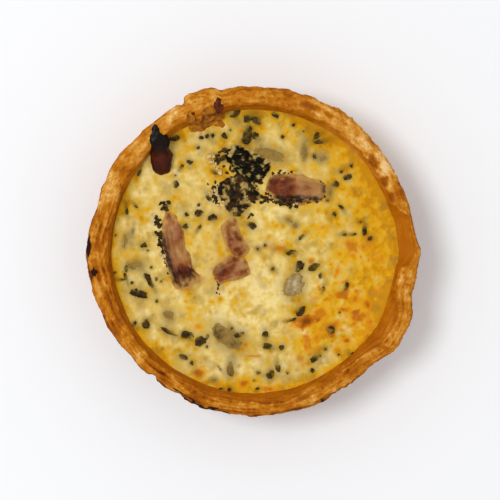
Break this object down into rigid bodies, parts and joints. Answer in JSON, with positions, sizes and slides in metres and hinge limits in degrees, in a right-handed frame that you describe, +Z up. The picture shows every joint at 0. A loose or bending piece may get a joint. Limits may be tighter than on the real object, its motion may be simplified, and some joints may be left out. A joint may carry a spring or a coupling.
{
  "type": "quiche",
  "caption": "Small round quiche: a baked pastry shell with an uneven rim, filled with set custard in which bacon, mushroom and herbs stand.",
  "frame": {"origin": "centre of the flat underside of the crust, where it rests", "axes": "+Z up, out of the open top; +Y towards the rim beside the charred bacon and the torn tab"},
  "size_m": [0.1203, 0.1188, 0.0312],
  "materials": {
    "pastry": "baked shortcrust pastry, matt, mottled golden to dark brown",
    "custard": "set egg and cheese custard, moist, soft uneven gloss",
    "bacon": "cooked bacon, moist, soft gloss",
    "charred_bacon": "charred bacon, dark and glossy",
    "mushroom": "cooked mushroom, moist, nearly matt",
    "charred_mushroom": "charred mushroom, black and crumpled"
  },
  "bodies": {
    "root": {"crust": "pastry", "custard": "custard", "bacon_long": "bacon", "bacon_thick": "bacon", "bacon_curl": "bacon", "bacon_nub": "bacon", "bacon_charred": "charred_bacon", "mushroom_cap": "mushroom", "mushroom_slice": "mushroom", "mushroom_sliver": "mushroom", "mushroom_stalk": "mushroom", "mushroom_charred": "charred_mushroom"}
  },
  "joints": []
}
